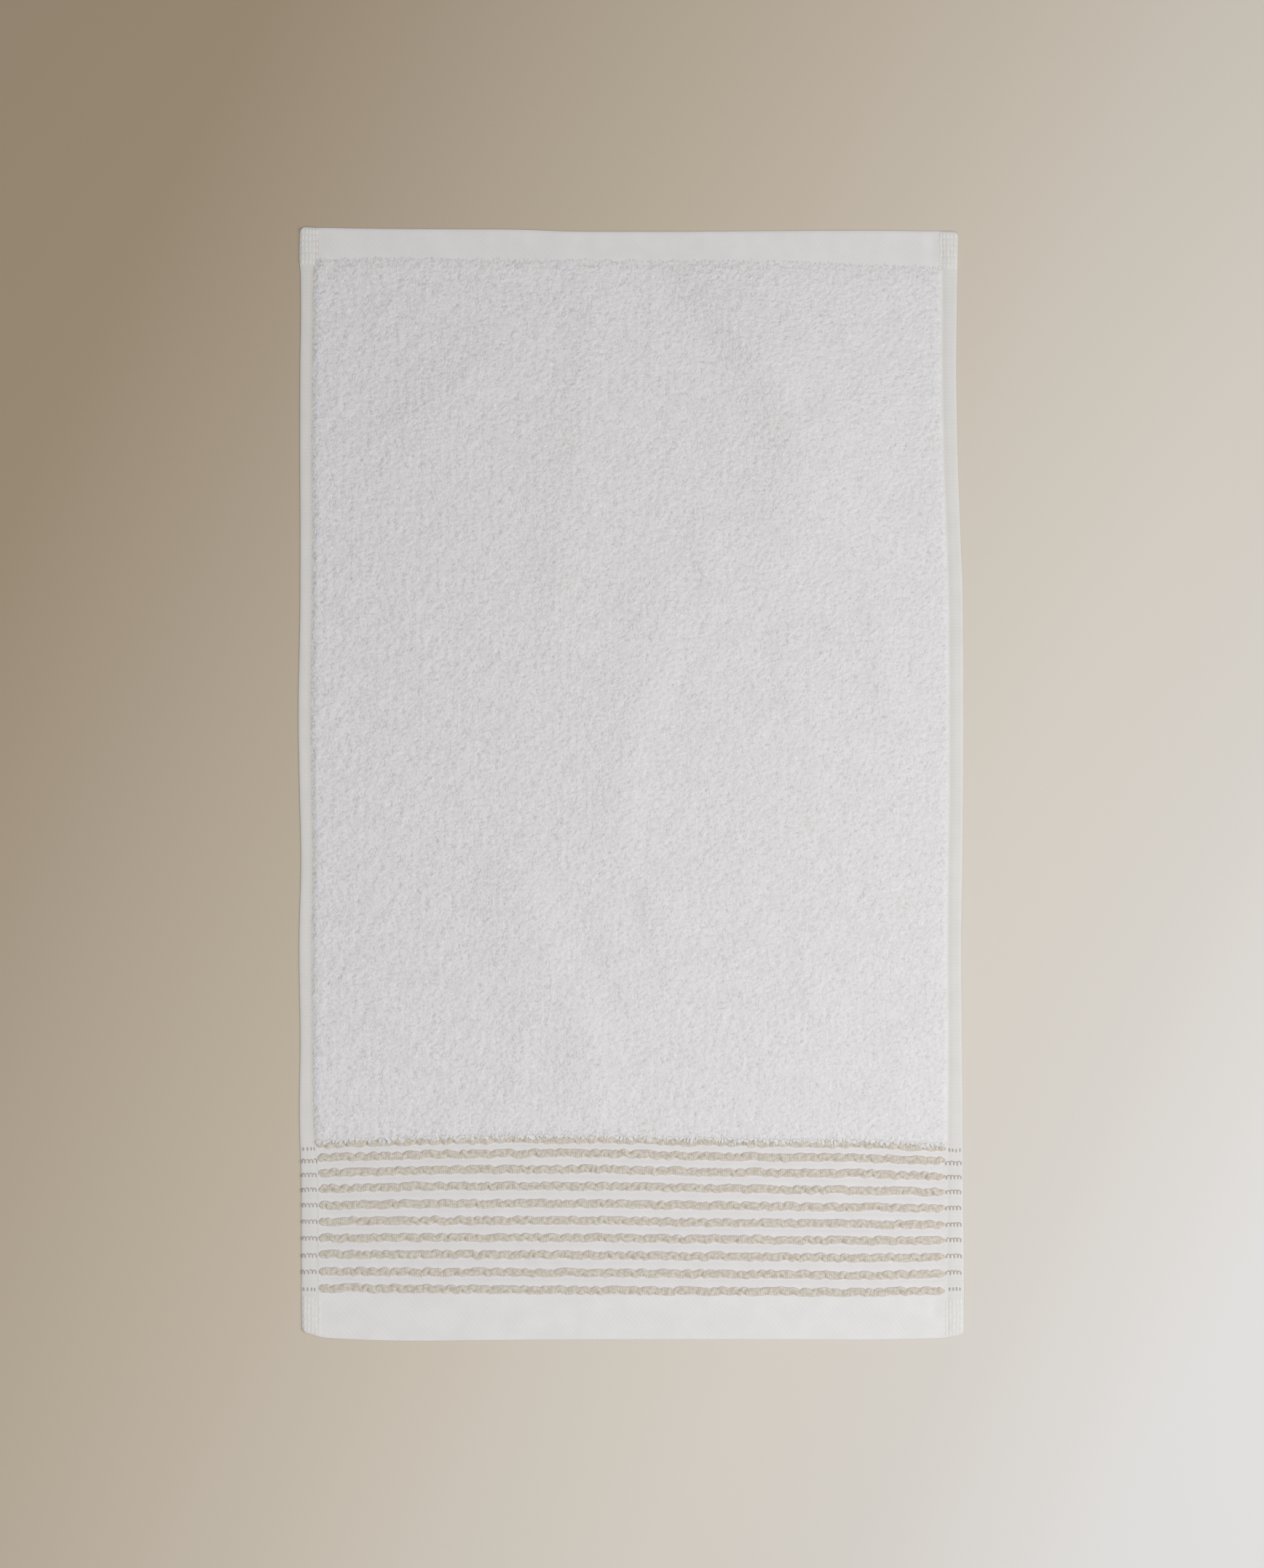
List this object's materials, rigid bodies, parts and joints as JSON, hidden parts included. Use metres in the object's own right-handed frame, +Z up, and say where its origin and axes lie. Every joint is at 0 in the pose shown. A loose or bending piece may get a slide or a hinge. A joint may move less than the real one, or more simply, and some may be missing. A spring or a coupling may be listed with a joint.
{
  "type": "terry hand towel",
  "caption": "Small white terry towel lying flat, with a looped field, hems on all sides and a border of ruched beige ribs at one end.",
  "frame": {"origin": "centre of the towel's footprint, on the surface that it lies on", "axes": "+X runs across the towel, +Y runs along it towards its plain end, with the ribbed border near the -Y end, and +Z points up from its flat back through its face"},
  "size_m": [0.4098, 0.6864, 0.0073],
  "materials": {
    "white_cotton": "soft undyed-white looped cotton, matt",
    "beige_rib": "ruched beige cotton rib under fine white cross threads, matt"
  },
  "bodies": {
    "root": {"terry_towel": "white_cotton"}
  },
  "joints": []
}
